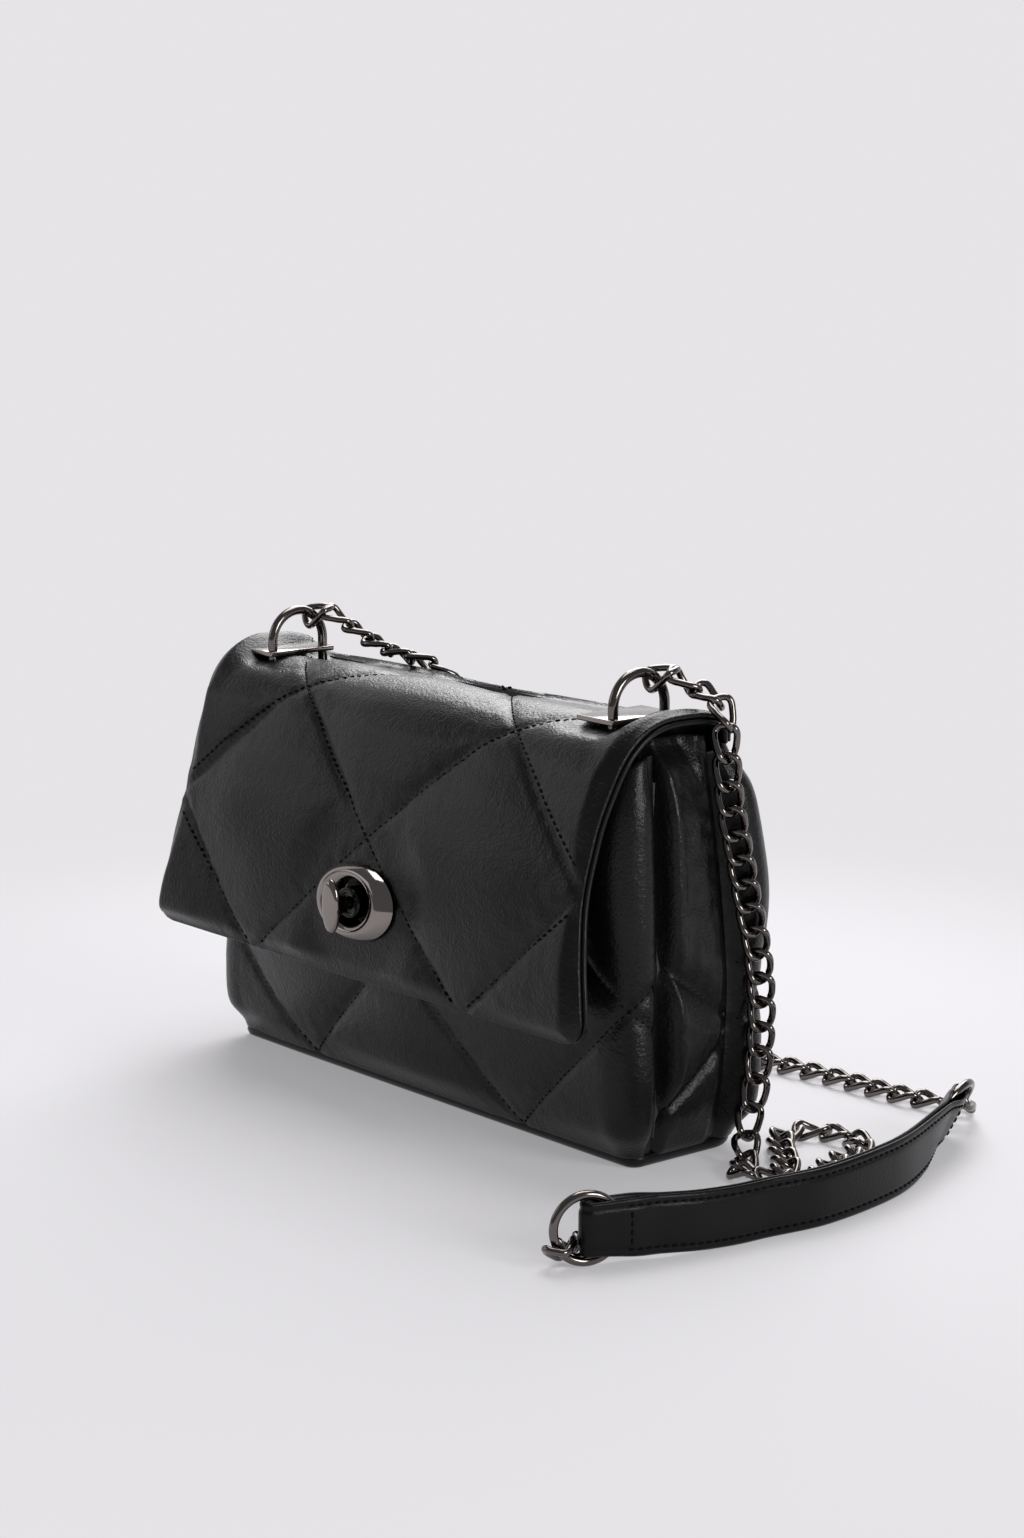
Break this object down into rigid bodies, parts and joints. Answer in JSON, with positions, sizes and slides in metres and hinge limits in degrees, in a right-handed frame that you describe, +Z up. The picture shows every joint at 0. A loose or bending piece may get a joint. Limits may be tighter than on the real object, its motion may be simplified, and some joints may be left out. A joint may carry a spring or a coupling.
{
  "type": "shoulder bag",
  "caption": "Black quilted leather shoulder bag with a front flap, an oval turn lock, staple rings, a curb chain strap and a leather shoulder pad",
  "frame": {"origin": "middle of the bag body's base, on the floor", "axes": "+X towards the bag's right end seen from the front, the end the chain hangs at; -Y towards the front with the lock; +Z up"},
  "size_m": [0.3369, 0.2426, 0.1809],
  "materials": {
    "leather": "smooth black, soft sheen",
    "lining_cloth": "plain dark cloth",
    "board": "pressed fibre board",
    "gunmetal": "polished gunmetal plating",
    "dark_metal": "polished dark plating"
  },
  "bodies": {
    "bag": {"back_panel": "leather", "base_board": "board", "base_panel": "leather", "chain_back": "gunmetal", "chain_floor": "gunmetal", "chain_link_01": "gunmetal", "chain_link_02": "gunmetal", "chain_link_03": "gunmetal", "chain_link_04": "gunmetal", "chain_link_05": "gunmetal", "chain_link_06": "gunmetal", "chain_link_07": "gunmetal", "chain_link_08": "gunmetal", "chain_link_09": "gunmetal", "chain_link_10": "gunmetal", "chain_link_11": "gunmetal", "chain_pile": "gunmetal", "chain_to_pad": "gunmetal", "chain_top_left": "gunmetal", "chain_top_right": "gunmetal", "front_panel": "leather", "gusset_left": "leather", "gusset_right": "leather", "inner_pocket": "lining_cloth", "lining": "lining_cloth", "lock_anchor_plate": "dark_metal", "lock_base_plate": "gunmetal", "lock_post": "dark_metal", "pad_backing": "leather", "pad_leather": "leather", "pad_ring_front": "gunmetal", "pad_ring_rear": "gunmetal"},
    "flap": {"flap_shell": "leather", "flap_lining": "leather", "lock_bezel": "gunmetal", "bezel_keeper": "dark_metal", "ring_plate_left": "gunmetal", "ring_plate_right": "gunmetal", "ring_washer_left": "dark_metal", "ring_washer_right": "dark_metal", "staple_ring_left": "gunmetal", "staple_ring_right": "gunmetal"},
    "toggle": {"lock_toggle": "gunmetal"}
  },
  "joints": [
    {"name": "flap_fold", "type": "hinge", "parent": "bag", "child": "flap", "pos_m": [0, 0.0195, 0.15396], "axis": [-1, 0, 0], "range_deg": [0, 150], "deforming": ["chain_top_left", "chain_top_right"]},
    {"name": "toggle_turn", "type": "hinge", "parent": "bag", "child": "toggle", "pos_m": [0, -0.06101, 0.0825], "axis": [0, -1, 0], "range_deg": [0, 90]}
  ]
}
